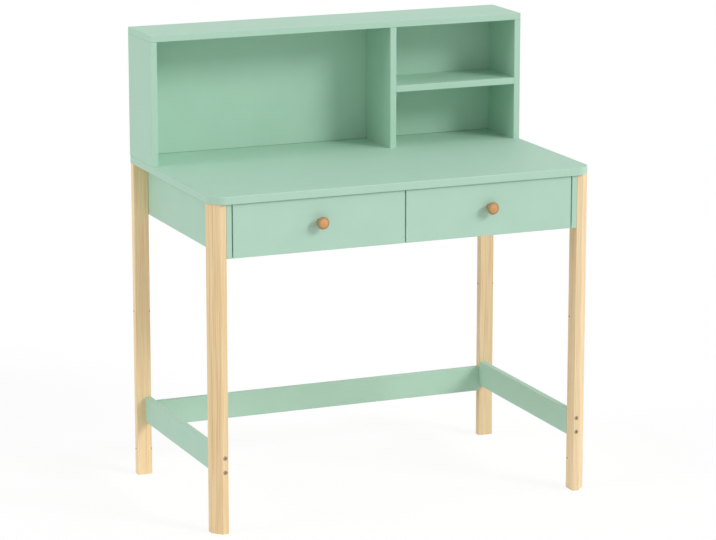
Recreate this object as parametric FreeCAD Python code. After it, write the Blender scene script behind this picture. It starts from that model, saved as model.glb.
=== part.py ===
import FreeCAD, Part
import os

from FreeCAD import Placement, Rotation, Vector

# Student desk with a hutch, in millimetres: X to the right, Y to the back, Z up.
# The origin lies on the floor, under the middle of the whole desk with its knobs.

# Desktop board, its two front corners cut off and rounded
desktop_width = 900
desktop_depth = 527.5
desktop_thickness = 18
desktop_height = 745
desktop_corner_cut = 24
desktop_corner_round = 22
desktop_back_corner_round = 3
desktop_edge_round = 2

# Pine legs: square in front with a broad cut on the outer corner, flat behind
leg_width = 35
front_leg_depth = 35
rear_leg_depth = 18
leg_corner_cut = 20
leg_edge_round = 1.5
leg_foot_round = 1
side_overhang = 1
front_overhang = 6.5
rear_overhang = 1

# Aprons and the board between the drawers
apron_thickness = 12
apron_height = 118
partition_thickness = 12
partition_front_gap = 3
board_edge_round = 1

# Stretchers near the floor
stretcher_thickness = 15
stretcher_height = 58
side_stretcher_rise = 125
rear_stretcher_drop = 13

# Hutch that stands on the back of the desktop
hutch_height = 292
hutch_depth = 150
hutch_board_thickness = 15
hutch_back_thickness = 12
hutch_back_clearance = 0.7
cubby_width = 296
lower_cubby_height = 128

# Drawers
drawer_gap = 2.5
drawer_top_gap = 1.2
drawer_front_thickness = 12
drawer_side_thickness = 12
drawer_back_thickness = 12
drawer_bottom_thickness = 3
drawer_bottom_rise = 8
drawer_groove_depth = 4
drawer_box_height = 90
drawer_rear_room = 46

# Knobs turned in wood
knob_radius = 14
knob_base_radius = 9
knob_neck_radius = 7.5
knob_projection = 25
knob_base_length = 3
knob_head_length = 9
knob_head_round = 3.5
knob_dome = 1.5
knob_lift = 6

# Roller slides: a channel on the cabinet and an angle on the drawer, each with a roller
slide_gap = 12.5
slide_rise = 6
slide_setback = 2
slide_sheet = 1.2
channel_height = 24
channel_flange = 9.9
channel_lip_setback = 26
angle_rise = 3
angle_foot = 8
angle_flange = 10.5
angle_clearance = 0.4
roller_radius = 9
roller_bore_radius = 2.56
roller_pin_radius = 2.5
roller_inset = 13
roller_width = 6.6
roller_end_play = 0.2
roller_running_gap = 0.3
pin_head_radius = 4
pin_head_length = 0.8
pin_collar_length = 1.6

# Connecting screws with a hexagon socket
connector_head_radius = 5
connector_head_depth = 4
connector_shank_radius = 3.25
connector_long_length = 70
connector_short_length = 50
connector_spacing = 32
connector_socket_radius = 2.3
connector_socket_depth = 3

# Wood screws with a cross recess
wood_screw_head_radius = 4.5
wood_screw_head_depth = 3
wood_screw_shank_radius = 2.25
wood_screw_length = 40
cross_length = 4.6
cross_width = 1
cross_depth = 1.6
leg_screw_drops = (45, 75)

# Rail screws with flat round heads
rail_screw_head_radius = 3
rail_screw_head_height = 1.1
rail_screw_shank_radius = 1.5
rail_screw_length = 10
rail_screw_shares = (0.12, 0.5, 0.84)
rail_screw_stagger = 14
channel_screw_rise = 18.5
angle_screw_rise = 19.5
rail_cross_length = 3
rail_cross_depth = 0.7

# Screw that holds a knob from inside its drawer
knob_screw_head_radius = 4
knob_screw_head_height = 2.4
knob_screw_shank_radius = 2
knob_screw_grip = 14

# Cam fittings that draw the desktop onto the aprons and the rear legs onto their stretcher
cam_radius = 6
cam_floor = 2
cam_drop = 24
cam_bore_radius = 3.5
cam_slot_length = 5
cam_slot_width = 1.2
cam_slot_depth = 1.5
cam_bolt_thread_radius = 3
cam_bolt_thread_length = 10
cam_bolt_shank_radius = 2.5
cam_bolt_head_radius = 3.2
cam_bolt_head_length = 3
cam_side_shares = (0.2, 0.75)
cam_rear_shares = (0.25, 0.75)
cam_partition_shares = (0.2, 0.8)

# Wooden dowels
dowel_radius = 3
dowel_length = 24
dowel_face_depth = 8
dowel_shares = (0.25, 0.75)

# Clearances: round a fastener in its hole, beside a board in its groove, and past a cut
bore_clearance = 0.1
groove_clearance = 0.2
overrun = 1

# Levels and planes that follow from the sizes above
knob_reach = knob_projection - front_overhang
half_width = desktop_width / 2
back_y = (desktop_depth + knob_reach) / 2
front_y = back_y - desktop_depth
under_z = desktop_height - desktop_thickness
leg_outer_x = half_width - side_overhang
leg_inner_x = leg_outer_x - leg_width
frame_front_y = front_y + front_overhang
frame_back_y = back_y - rear_overhang
front_leg_back_y = frame_front_y + front_leg_depth
rear_leg_front_y = frame_back_y - rear_leg_depth
apron_inner_x = leg_inner_x - apron_thickness
apron_low_z = under_z - apron_height
rear_apron_front_y = frame_back_y - apron_thickness
drawer_back_of_front_y = frame_front_y + drawer_front_thickness
drawer_box_depth = rear_apron_front_y - drawer_rear_room - drawer_back_of_front_y
slide_length = drawer_box_depth
partition_front_y = drawer_back_of_front_y + partition_front_gap
slide_low_z = apron_low_z + slide_rise
slide_front_y = drawer_back_of_front_y + slide_setback
box_low_z = slide_low_z + angle_rise + slide_sheet
angle_flange_z = slide_low_z + channel_height + angle_clearance
hutch_top_z = desktop_height + hutch_height
hutch_ceiling_z = hutch_top_z - hutch_board_thickness
hutch_front_y = back_y - hutch_depth
hutch_inner_x = half_width - hutch_board_thickness
divider_right_x = hutch_inner_x - cubby_width
divider_left_x = divider_right_x - hutch_board_thickness
shelf_low_z = desktop_height + lower_cubby_height
shelf_high_z = shelf_low_z + hutch_board_thickness
hutch_back_front_y = back_y - hutch_back_thickness
divider_back_y = hutch_back_front_y - hutch_back_clearance

LEFT = Vector(-1, 0, 0)
RIGHT = Vector(1, 0, 0)
FRONT = Vector(0, -1, 0)
BACK = Vector(0, 1, 0)
DOWN = Vector(0, 0, -1)
UP = Vector(0, 0, 1)
SAME_PLACE = 1e-6


def block(x0, x1, y0, y1, z0, z1):
    """A box between two corners, given in any order."""
    corner = Vector(min(x0, x1), min(y0, y1), min(z0, z1))
    return Part.makeBox(abs(x1 - x0), abs(y1 - y0), abs(z1 - z0), corner)


def prism(points, low_z, height):
    """A flat outline of (x, y) points raised to a height."""
    corners = [Vector(x, y, low_z) for x, y in points]
    return Part.Face(Part.makePolygon(corners + corners[:1])).extrude(UP * height)


def eased(solid, radius, *pairs):
    """Round the straight edges where two sides of a block meet, such as "front top"."""
    box = solid.BoundBox
    sides = {"left": ("x", box.XMin), "right": ("x", box.XMax), "front": ("y", box.YMin),
             "back": ("y", box.YMax), "bottom": ("z", box.ZMin), "top": ("z", box.ZMax)}
    chosen = []
    for pair in pairs:
        planes = [sides[word] for word in pair.split()]
        for edge in solid.Edges:
            middle = edge.CenterOfMass
            if all(abs(getattr(middle, axis) - level) < SAME_PLACE for axis, level in planes):
                chosen.append(edge)
    return solid.makeFillet(radius, chosen)


def upright_edges(solid):
    """The edges of a prism that stand upright."""
    return [edge for edge in solid.Edges if edge.BoundBox.ZLength > SAME_PLACE]


def rim_edges(solid, z):
    """The edges of a prism that lie at one level."""
    return [edge for edge in solid.Edges
            if abs(edge.BoundBox.ZMin - z) < SAME_PLACE and abs(edge.BoundBox.ZMax - z) < SAME_PLACE]


def placed(solid, seat, direction):
    """A copy of something made along Z from the origin, set on a seat along a direction."""
    copy = solid.copy()
    copy.Placement = Placement(seat, Rotation(UP, direction))
    return copy


def placed_all(solid, places):
    return [placed(solid, seat, direction) for seat, direction in places]


def drilled(solid, holes):
    """A piece with all of its holes cut."""
    return solid.cut(holes) if holes else solid


def save(name, *solids):
    """One file for each piece, or for each set of like fasteners."""
    pieces = [piece for solid in solids for piece in solid.Solids]
    shape = pieces[0] if len(pieces) == 1 else Part.makeCompound(pieces)
    shape.exportStep("parts/" + name + ".step")


def hexagon_socket(radius, depth):
    outline = Part.makePolygon([Rotation(UP, 60 * turn).multVec(RIGHT * radius) for turn in range(7)])
    return Part.Face(outline).extrude(UP * depth)


def cross_recess(length, width, depth):
    half_length = length / 2
    half_slot = width / 2
    one = block(-half_length, half_length, -half_slot, half_slot, 0, depth)
    two = block(-half_slot, half_slot, -half_length, half_length, 0, depth)
    return one.fuse(two)


def countersunk(head_radius, head_depth, shank_radius, length, recess):
    """A screw with its head's face at the origin and its point along Z."""
    head = Part.makeCone(head_radius, shank_radius, head_depth)
    shank = Part.makeCylinder(shank_radius, length - head_depth, UP * head_depth)
    return head.fuse(shank).removeSplitter().cut(recess)


def countersunk_bore(head_radius, head_depth, shank_radius, length):
    """The hole that a countersunk screw leaves in what it holds."""
    mouth = Part.makeCone(head_radius + bore_clearance, shank_radius + bore_clearance, head_depth)
    run = length - head_depth + bore_clearance
    return mouth.fuse(Part.makeCylinder(shank_radius + bore_clearance, run, UP * head_depth))


def flat_head(head_radius, head_height, shank_radius, length, recess):
    """A screw whose head stands on the seat and whose shank runs along Z."""
    head = Part.makeCylinder(head_radius, head_height, DOWN * head_height)
    shank = Part.makeCylinder(shank_radius, length)
    return head.fuse(shank).removeSplitter().cut(recess)


def shank_bore(shank_radius, length):
    return Part.makeCylinder(shank_radius + bore_clearance, length + bore_clearance)


os.makedirs("parts", exist_ok=True)

# Fasteners, made once at the origin and then set in their places
socket = hexagon_socket(connector_socket_radius, connector_socket_depth)
connector_sizes = (connector_head_radius, connector_head_depth, connector_shank_radius)
long_connector = countersunk(*connector_sizes, connector_long_length, socket)
long_connector_bore = countersunk_bore(*connector_sizes, connector_long_length)
short_connector = countersunk(*connector_sizes, connector_short_length, socket)
short_connector_bore = countersunk_bore(*connector_sizes, connector_short_length)

wood_screw_sizes = (wood_screw_head_radius, wood_screw_head_depth, wood_screw_shank_radius, wood_screw_length)
wood_screw = countersunk(*wood_screw_sizes, cross_recess(cross_length, cross_width, cross_depth))
wood_screw_bore = countersunk_bore(*wood_screw_sizes)

rail_recess = cross_recess(rail_cross_length, cross_width, rail_cross_depth)
rail_recess.translate(DOWN * rail_screw_head_height)
rail_screw = flat_head(rail_screw_head_radius, rail_screw_head_height,
                       rail_screw_shank_radius, rail_screw_length, rail_recess)
rail_screw_bore = shank_bore(rail_screw_shank_radius, rail_screw_length)

dowel = Part.makeCylinder(dowel_radius, dowel_length)
dowel_bore = shank_bore(dowel_radius, dowel_length)

# Where the connecting screws go: long ones through the front legs into the side stretchers,
# short ones through the rear legs into the same stretchers and up through the desktop into the hutch.
side_stretcher_x = leg_inner_x + stretcher_thickness / 2
side_stretcher_middle_z = side_stretcher_rise + stretcher_height / 2
rear_stretcher_y = rear_leg_front_y + stretcher_thickness / 2
pair_offsets = (-connector_spacing / 2, connector_spacing / 2)
hutch_screw_ys = [hutch_front_y + share * hutch_depth for share in dowel_shares]

long_places = []
short_places = []
for side in (-1, 1):
    for offset in pair_offsets:
        z = side_stretcher_middle_z + offset
        long_places.append((Vector(side * side_stretcher_x, frame_front_y, z), BACK))
        short_places.append((Vector(side * side_stretcher_x, frame_back_y, z), FRONT))
hutch_upright_xs = (hutch_board_thickness / 2 - half_width,
                    (divider_left_x + divider_right_x) / 2,
                    half_width - hutch_board_thickness / 2)
for x in hutch_upright_xs:
    for y in hutch_screw_ys:
        short_places.append((Vector(x, y, under_z), UP))
long_holes = placed_all(long_connector_bore, long_places)
short_holes = placed_all(short_connector_bore, short_places)
connector_holes = long_holes + short_holes

# Two wood screws hold each leg, from inside the apron
leg_screw_ys = ((frame_front_y + front_leg_back_y) / 2, (rear_leg_front_y + frame_back_y) / 2)
leg_screw_places = [(Vector(side * apron_inner_x, y, under_z - drop), RIGHT * side)
                    for side in (-1, 1) for y in leg_screw_ys for drop in leg_screw_drops]
leg_screw_holes = placed_all(wood_screw_bore, leg_screw_places)

# Cam fittings: where each bolt enters the desktop or a rear leg and which way, then which way its cam
# is set into the board that it draws up, and how thick that board is. The bolts of the rear stretcher
# pass midway between the screws of the side stretchers.
side_run = frame_back_y - frame_front_y
rear_run = 2 * apron_inner_x
partition_run = rear_apron_front_y - partition_front_y
cam_places = []
for side in (-1, 1):
    for share in cam_side_shares:
        at = Vector(side * (apron_inner_x + apron_thickness / 2), frame_front_y + share * side_run, under_z)
        cam_places.append((at, UP, RIGHT * side, apron_thickness))
for share in cam_rear_shares:
    at = Vector(share * rear_run - apron_inner_x, rear_apron_front_y + apron_thickness / 2, under_z)
    cam_places.append((at, UP, BACK, apron_thickness))
for share in cam_partition_shares:
    at = Vector(0, partition_front_y + share * partition_run, under_z)
    cam_places.append((at, UP, RIGHT, partition_thickness))
for side in (-1, 1):
    at = Vector(side * leg_inner_x, rear_stretcher_y, side_stretcher_middle_z)
    cam_places.append((at, RIGHT * side, FRONT, stretcher_thickness))

cam_slot = cross_recess(cam_slot_length, cam_slot_width, cam_slot_depth)
bolt_drop = cam_drop + cam_bolt_head_length / 2
bolt_thread = Part.makeCylinder(cam_bolt_thread_radius, cam_bolt_thread_length)
bolt_shank = Part.makeCylinder(cam_bolt_shank_radius, bolt_drop, DOWN * bolt_drop)
bolt_head = Part.makeCylinder(cam_bolt_head_radius, cam_bolt_head_length, DOWN * bolt_drop)
cam_bolt = bolt_thread.fuse([bolt_shank, bolt_head]).removeSplitter()
bolt_hole_length = bolt_drop + bore_clearance
bolt_hole_in_board = Part.makeCylinder(cam_bore_radius, bolt_hole_length, DOWN * bolt_hole_length)
bolt_thread_hole = shank_bore(cam_bolt_thread_radius, cam_bolt_thread_length)

cam_locks = []
cam_bolts = []
cam_board_holes = []
cam_thread_holes = []
for at, bolt_way, inward, thickness in cam_places:
    face = at - bolt_way * cam_drop - inward * (thickness / 2)
    cam_depth = thickness - cam_floor
    cam_lock = Part.makeCylinder(cam_radius, cam_depth).cut(cam_slot)
    bolt_hole = placed(bolt_hole_in_board, at, bolt_way)
    cam_locks.append(placed(cam_lock, face, inward).cut(bolt_hole))
    cam_bolts.append(placed(cam_bolt, at, bolt_way))
    cam_board_holes += [placed(shank_bore(cam_radius, cam_depth), face, inward), bolt_hole]
    cam_thread_holes.append(placed(bolt_thread_hole, at, bolt_way))


def dowel_row(start, end, direction):
    """Dowels spread along a line on a board's face, reaching from inside it along a direction."""
    run = end - start
    return [(start + run * share - direction * dowel_face_depth, direction) for share in dowel_shares]


# Dowels: rear apron and partition, rear stretcher, hutch top on its uprights, shelf ends, back panel ends
rear_apron_middle_y = rear_apron_front_y + apron_thickness / 2
hutch_back_middle_y = back_y - hutch_back_thickness / 2
shelf_middle_z = (shelf_low_z + shelf_high_z) / 2
stretcher_dowel_z = side_stretcher_middle_z - connector_spacing
dowel_places = []
for side in (-1, 1):
    stretcher_end = Vector(side * leg_inner_x, rear_stretcher_y, stretcher_dowel_z)
    dowel_places.append((stretcher_end + RIGHT * (side * dowel_face_depth), LEFT * side))
    dowel_places += dowel_row(Vector(side * apron_inner_x, rear_apron_middle_y, apron_low_z),
                              Vector(side * apron_inner_x, rear_apron_middle_y, under_z), LEFT * side)
    dowel_places += dowel_row(Vector(side * hutch_inner_x, hutch_back_middle_y, desktop_height),
                              Vector(side * hutch_inner_x, hutch_back_middle_y, hutch_ceiling_z), LEFT * side)
dowel_places += dowel_row(Vector(0, rear_apron_front_y, apron_low_z),
                          Vector(0, rear_apron_front_y, under_z), FRONT)
for x in hutch_upright_xs:
    dowel_places += dowel_row(Vector(x, hutch_front_y, hutch_ceiling_z),
                              Vector(x, back_y, hutch_ceiling_z), DOWN)
for x, direction in ((divider_right_x, RIGHT), (hutch_inner_x, LEFT)):
    dowel_places += dowel_row(Vector(x, hutch_front_y, shelf_middle_z),
                              Vector(x, hutch_back_front_y, shelf_middle_z), direction)
dowel_holes = placed_all(dowel_bore, dowel_places)

# Desktop
desktop_outline = [(half_width - desktop_corner_cut, front_y), (half_width, front_y + desktop_corner_cut),
                   (half_width, back_y), (-half_width, back_y),
                   (-half_width, front_y + desktop_corner_cut), (desktop_corner_cut - half_width, front_y)]
desktop = prism(desktop_outline, under_z, desktop_thickness)
front_corners = [edge for edge in upright_edges(desktop) if edge.CenterOfMass.y < 0]
desktop = desktop.makeFillet(desktop_corner_round, front_corners)
desktop = eased(desktop, desktop_back_corner_round, "left back", "right back")
rims = rim_edges(desktop, desktop_height) + rim_edges(desktop, under_z)
desktop = desktop.makeFillet(desktop_edge_round, rims)
save("desktop", drilled(desktop, short_holes + cam_thread_holes))

# Legs
leg_holes = connector_holes + leg_screw_holes + cam_thread_holes + dowel_holes
for side, side_name in ((-1, "left"), (1, "right")):
    inner_x = side * leg_inner_x
    outer_x = side * leg_outer_x
    cut_x = side * (leg_outer_x - leg_corner_cut)
    front_outline = [(inner_x, frame_front_y), (cut_x, frame_front_y),
                     (outer_x, frame_front_y + leg_corner_cut),
                     (outer_x, front_leg_back_y), (inner_x, front_leg_back_y)]
    rear_outline = [(inner_x, rear_leg_front_y), (outer_x, rear_leg_front_y),
                    (outer_x, frame_back_y), (inner_x, frame_back_y)]
    for end_name, outline in (("front", front_outline), ("rear", rear_outline)):
        leg = prism(outline, 0, under_z)
        leg = leg.makeFillet(leg_edge_round, upright_edges(leg))
        leg = leg.makeChamfer(leg_foot_round, rim_edges(leg, 0))
        save("leg_" + end_name + "_" + side_name, drilled(leg, leg_holes))

# Slides: X runs from the drawer's side out to the board that carries the channel
partition_face_x = partition_thickness / 2
box_inner_x = partition_face_x + slide_gap
box_outer_x = apron_inner_x - slide_gap
channel_mouth = slide_gap - channel_flange
channel_web = slide_gap - slide_sheet
slide_back_y = slide_front_y + slide_length
front_roller_z = angle_flange_z - roller_running_gap - roller_radius
rear_roller_z = slide_low_z + slide_sheet + roller_running_gap + roller_radius
front_roller_y = slide_front_y + roller_inset
rear_roller_y = slide_back_y - roller_inset
roller_solid = Part.makeCylinder(roller_radius, roller_width)
roller_solid = roller_solid.cut(Part.makeCylinder(roller_bore_radius, roller_width))
cabinet_rail_screws = []
cabinet_rail_holes = []


def roller_pin(first_collar):
    """A pin along Z: a collar or none, room for the roller, then a head that keeps it on."""
    turned = roller_width + 2 * roller_end_play
    pin = Part.makeCylinder(roller_pin_radius, first_collar + turned + pin_head_length)
    head = Part.makeCylinder(pin_head_radius, pin_head_length, UP * (first_collar + turned))
    if first_collar:
        return pin.fuse([Part.makeCylinder(pin_head_radius, first_collar), head]).removeSplitter()
    return pin.fuse(head).removeSplitter()


def rail_screw_ys(side):
    """Screw places along a rail, staggered so that those of the two drawers miss each other."""
    shift = rail_screw_stagger if side > 0 else 0
    return [slide_front_y + share * slide_length + shift for share in rail_screw_shares]


def make_slide(side, place, side_x, outward):
    """One slide: its channel, its angle and its two rollers, and the screws that hold them."""
    drawer_name = "drawer_right" if side > 0 else "drawer_left"

    def bar(u0, u1, y0, y1, z0, z1):
        return block(side_x + outward * u0, side_x + outward * u1, y0, y1, z0, z1)

    low_z = slide_low_z
    top_z = low_z + channel_height
    into_board = RIGHT * outward
    web = bar(channel_web, slide_gap, slide_front_y, slide_back_y, low_z, top_z)
    floor = bar(channel_mouth, slide_gap, slide_front_y, slide_back_y, low_z, low_z + slide_sheet)
    lip = bar(channel_mouth, slide_gap, slide_front_y + channel_lip_setback, slide_back_y,
              top_z - slide_sheet, top_z)
    pin_seat = Vector(side_x + outward * channel_web, front_roller_y, front_roller_z)
    pin = placed(roller_pin(0), pin_seat, -into_board)
    seats = [Vector(side_x + outward * channel_web, y, low_z + channel_screw_rise)
             for y in rail_screw_ys(side)]
    screw_places = [(seat, into_board) for seat in seats]
    holes = placed_all(rail_screw_bore, screw_places)
    save(place + "_cabinet_rail", drilled(web.fuse([floor, lip, pin]).removeSplitter(), holes))
    cabinet_rail_screws.extend(placed_all(rail_screw, screw_places))
    cabinet_rail_holes.extend(holes)
    save(place + "_cabinet_roller", placed(roller_solid, pin_seat - into_board * roller_end_play, -into_board))

    web = bar(0, slide_sheet, slide_front_y, slide_back_y, low_z + angle_rise, angle_flange_z + slide_sheet)
    foot = bar(-angle_foot, slide_sheet, slide_front_y, slide_back_y, low_z + angle_rise, box_low_z)
    runner = bar(0, angle_flange, slide_front_y, slide_back_y, angle_flange_z, angle_flange_z + slide_sheet)
    pin_seat = Vector(side_x + outward * slide_sheet, rear_roller_y, rear_roller_z)
    pin = placed(roller_pin(pin_collar_length), pin_seat, into_board)
    seats = [Vector(side_x + outward * slide_sheet, y, low_z + angle_screw_rise) for y in rail_screw_ys(side)]
    screw_places = [(seat, -into_board) for seat in seats]
    holes = placed_all(rail_screw_bore, screw_places)
    save(place + "_drawer_rail", drilled(web.fuse([foot, runner, pin]).removeSplitter(), holes))
    roller_seat = pin_seat + into_board * (pin_collar_length + roller_end_play)
    save(place + "_drawer_roller", placed(roller_solid, roller_seat, into_board))
    return placed_all(rail_screw, screw_places), holes


def knob_solid():
    """A turned knob along Z: a base, a hollow neck and a head with a rounded rim and a low dome."""
    head_low = knob_projection - knob_head_length
    rim_z = knob_projection - knob_dome
    neck_z = (knob_base_length + head_low) / 2
    round_low = rim_z - knob_head_round
    slant = knob_head_round * (1 - 0.5 ** 0.5)
    base = [Vector(0, 0, 0), Vector(knob_base_radius, 0, 0), Vector(knob_base_radius, 0, knob_base_length)]
    shoulder = Vector(knob_radius, 0, round_low)
    neck_end = Vector((knob_neck_radius + knob_radius) / 2, 0, head_low)
    rim_middle = Vector(knob_radius - slant, 0, rim_z - slant)
    rim_end = Vector(knob_radius - knob_head_round, 0, rim_z)
    crown = Vector(0, 0, knob_projection)
    dome_radius = (rim_end.x ** 2 + knob_dome ** 2) / (2 * knob_dome)
    crown_middle_x = rim_end.x / 2
    crown_fall = dome_radius - (dome_radius ** 2 - crown_middle_x ** 2) ** 0.5
    crown_middle = Vector(crown_middle_x, 0, knob_projection - crown_fall)
    edges = [Part.LineSegment(base[0], base[1]).toShape(), Part.LineSegment(base[1], base[2]).toShape(),
             Part.Arc(base[2], Vector(knob_neck_radius, 0, neck_z), neck_end).toShape(),
             Part.LineSegment(neck_end, shoulder).toShape(),
             Part.Arc(shoulder, rim_middle, rim_end).toShape(),
             Part.Arc(rim_end, crown_middle, crown).toShape(),
             Part.LineSegment(crown, base[0]).toShape()]
    return Part.Face(Part.Wire(edges)).revolve(Vector(), UP, 360)


# Drawers, each with its two slides
knob_turned = knob_solid()
knob_x = (drawer_gap / 2 + apron_inner_x - drawer_gap) / 2
drawer_front_top_z = under_z - drawer_top_gap
knob_z = (apron_low_z + drawer_front_top_z) / 2 + knob_lift
knob_recess = cross_recess(cross_length, cross_width, cross_depth)
knob_recess.translate(DOWN * knob_screw_head_height)
knob_screw_length = drawer_front_thickness + knob_screw_grip
knob_screw = flat_head(knob_screw_head_radius, knob_screw_head_height, knob_screw_shank_radius,
                       knob_screw_length, knob_recess)
box_back_y = drawer_back_of_front_y + drawer_box_depth
box_high_z = box_low_z + drawer_box_height
bottom_low_z = box_low_z + drawer_bottom_rise
bottom_high_z = bottom_low_z + drawer_bottom_thickness
housing_y = drawer_back_of_front_y - drawer_groove_depth
back_front_y = box_back_y - drawer_back_thickness
back_screw_zs = [bottom_high_z + share * (box_high_z - bottom_high_z) for share in dowel_shares]

for side, name in ((-1, "drawer_left"), (1, "drawer_right")):
    inner_inside_x = box_inner_x + drawer_side_thickness
    outer_inside_x = box_outer_x - drawer_side_thickness
    inner_screws, inner_holes = make_slide(side, name + "_inner", side * box_inner_x, -side)
    outer_screws, outer_holes = make_slide(side, name + "_outer", side * box_outer_x, side)
    save(name + "_rail_screws", *inner_screws, *outer_screws)

    back_screw_places = []
    for face_x, inward in ((side * box_inner_x, RIGHT * side), (side * box_outer_x, LEFT * side)):
        for z in back_screw_zs:
            seat = Vector(face_x, box_back_y - drawer_back_thickness / 2, z)
            back_screw_places.append((seat, inward))
    back_screw_holes = placed_all(wood_screw_bore, back_screw_places)
    save(name + "_back_screws", *placed_all(wood_screw, back_screw_places))

    groove = block(side * (inner_inside_x - drawer_groove_depth), side * (outer_inside_x + drawer_groove_depth),
                   housing_y, box_back_y + overrun, bottom_low_z, bottom_high_z + groove_clearance)
    for place, x0, x1, rail_holes in (("inner", box_inner_x, inner_inside_x, inner_holes),
                                      ("outer", box_outer_x, outer_inside_x, outer_holes)):
        board = block(side * x0, side * x1, housing_y, box_back_y, box_low_z, box_high_z)
        board = eased(board, board_edge_round, "left top", "right top")
        save(name + "_" + place + "_side", drilled(board, [groove] + rail_holes + back_screw_holes))

    back = block(side * inner_inside_x, side * outer_inside_x, back_front_y, box_back_y,
                 bottom_high_z, box_high_z)
    back = eased(back, board_edge_round, "front top", "back top")
    save(name + "_back", drilled(back, back_screw_holes))
    bottom_edge = drawer_groove_depth - groove_clearance
    save(name + "_bottom", block(side * (inner_inside_x - bottom_edge), side * (outer_inside_x + bottom_edge),
                                 housing_y + groove_clearance, box_back_y, bottom_low_z, bottom_high_z))

    front = block(side * drawer_gap / 2, side * (apron_inner_x - drawer_gap), frame_front_y,
                  drawer_back_of_front_y, apron_low_z, drawer_front_top_z)
    front = eased(front, board_edge_round, "left front", "right front", "top front", "bottom front")
    housings = [block(side * (x0 - groove_clearance), side * (x1 + groove_clearance), housing_y,
                      drawer_back_of_front_y, box_low_z - groove_clearance, box_high_z + groove_clearance)
                for x0, x1 in ((box_inner_x, inner_inside_x), (outer_inside_x, box_outer_x))]
    knob_seat = Vector(side * knob_x, drawer_back_of_front_y, knob_z)
    knob_hole = placed(shank_bore(knob_screw_shank_radius, knob_screw_length), knob_seat, FRONT)
    save(name + "_front", drilled(front, housings + [groove, knob_hole]))
    knob = placed(knob_turned, knob_seat + FRONT * drawer_front_thickness, FRONT)
    save(name + "_knob", drilled(knob, [knob_hole]))
    save(name + "_knob_screw", placed(knob_screw, knob_seat, FRONT))

# Aprons and partition
apron_holes = leg_screw_holes + cam_board_holes + dowel_holes + cabinet_rail_holes
for side, side_name in ((-1, "left"), (1, "right")):
    apron = block(side * apron_inner_x, side * leg_inner_x, frame_front_y, frame_back_y, apron_low_z, under_z)
    apron = eased(apron, board_edge_round, "left front", "right front", "left bottom", "right bottom")
    save("side_apron_" + side_name, drilled(apron, apron_holes))
rear_apron = block(-apron_inner_x, apron_inner_x, rear_apron_front_y, frame_back_y, apron_low_z, under_z)
rear_apron = eased(rear_apron, board_edge_round, "front bottom", "back bottom")
save("rear_apron", drilled(rear_apron, cam_board_holes + dowel_holes))
partition = block(-partition_face_x, partition_face_x, partition_front_y, rear_apron_front_y,
                  apron_low_z, under_z)
partition = eased(partition, board_edge_round, "left bottom", "right bottom")
save("drawer_partition", drilled(partition, cam_board_holes + dowel_holes + cabinet_rail_holes))

# Stretchers
for side, side_name in ((-1, "left"), (1, "right")):
    stretcher = block(side * leg_inner_x, side * (leg_inner_x + stretcher_thickness), front_leg_back_y,
                      rear_leg_front_y, side_stretcher_rise, side_stretcher_rise + stretcher_height)
    stretcher = eased(stretcher, board_edge_round, "left top", "right top", "left bottom", "right bottom")
    save("stretcher_" + side_name, drilled(stretcher, connector_holes))
rear_rise = side_stretcher_rise - rear_stretcher_drop
stretcher = block(-leg_inner_x, leg_inner_x, rear_leg_front_y, rear_leg_front_y + stretcher_thickness,
                  rear_rise, rear_rise + stretcher_height)
stretcher = eased(stretcher, board_edge_round, "front top", "back top", "front bottom", "back bottom")
save("stretcher_rear", drilled(stretcher, cam_board_holes + dowel_holes))

# Hutch
hutch_holes = short_holes + dowel_holes
for side, side_name in ((-1, "left"), (1, "right")):
    upright = block(side * hutch_inner_x, side * half_width, hutch_front_y, back_y,
                    desktop_height, hutch_ceiling_z)
    upright = eased(upright, board_edge_round, "left front", "right front", side_name + " top")
    save("hutch_side_" + side_name, drilled(upright, hutch_holes))
hutch_top = block(-half_width, half_width, hutch_front_y, back_y, hutch_ceiling_z, hutch_top_z)
hutch_top = eased(hutch_top, board_edge_round, "front top", "front bottom", "left top", "right top",
                  "left bottom", "right bottom", "left front", "right front", "back top")
save("hutch_top", drilled(hutch_top, dowel_holes))
hutch_back = block(-hutch_inner_x, hutch_inner_x, hutch_back_front_y, back_y,
                   desktop_height + hutch_back_clearance, hutch_ceiling_z)
save("hutch_back", drilled(hutch_back, dowel_holes))
divider = block(divider_left_x, divider_right_x, hutch_front_y, divider_back_y, desktop_height, hutch_ceiling_z)
divider = eased(divider, board_edge_round, "left front", "right front")
save("hutch_divider", drilled(divider, hutch_holes))
shelf = block(divider_right_x, hutch_inner_x, hutch_front_y, divider_back_y, shelf_low_z, shelf_high_z)
shelf = eased(shelf, board_edge_round, "front top", "front bottom")
save("hutch_shelf", drilled(shelf, dowel_holes))

# Fasteners of the fixed frame
save("long_connecting_screws", *placed_all(long_connector, long_places))
save("short_connecting_screws", *placed_all(short_connector, short_places))
save("leg_screws", *placed_all(wood_screw, leg_screw_places))
save("cam_locks", *cam_locks)
save("cam_bolts", *cam_bolts)
save("dowels", *placed_all(dowel, dowel_places))
save("cabinet_rail_screws", *cabinet_rail_screws)
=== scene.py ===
import math

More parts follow.
